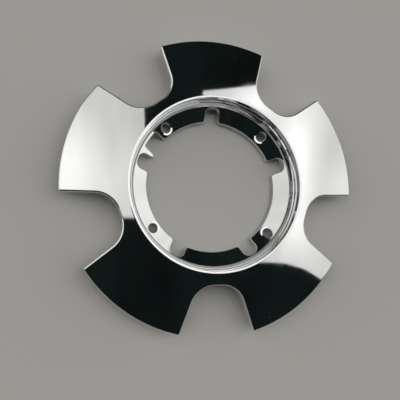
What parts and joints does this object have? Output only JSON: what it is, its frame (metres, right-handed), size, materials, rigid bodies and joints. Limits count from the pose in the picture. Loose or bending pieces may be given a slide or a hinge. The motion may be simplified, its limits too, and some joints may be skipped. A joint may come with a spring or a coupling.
{
  "type": "wheel centre cap",
  "caption": "Star-shaped bright-plated wheel centre cap with a stepped badge ring, a dished notched flange and an open middle.",
  "frame": {"origin": "centre of the middle opening, on the plane of the rear collar's end, which meets the wheel", "axes": "+Z along the wheel axis towards the front of the cap; +Y along the first arm"},
  "size_m": [0.16, 0.1575, 0.0177],
  "materials": {
    "bright_plate": "mirror-bright plate on moulded plastic, clean, with faint handling marks"
  },
  "bodies": {
    "root": {"centre_cap": "bright_plate"}
  },
  "joints": []
}
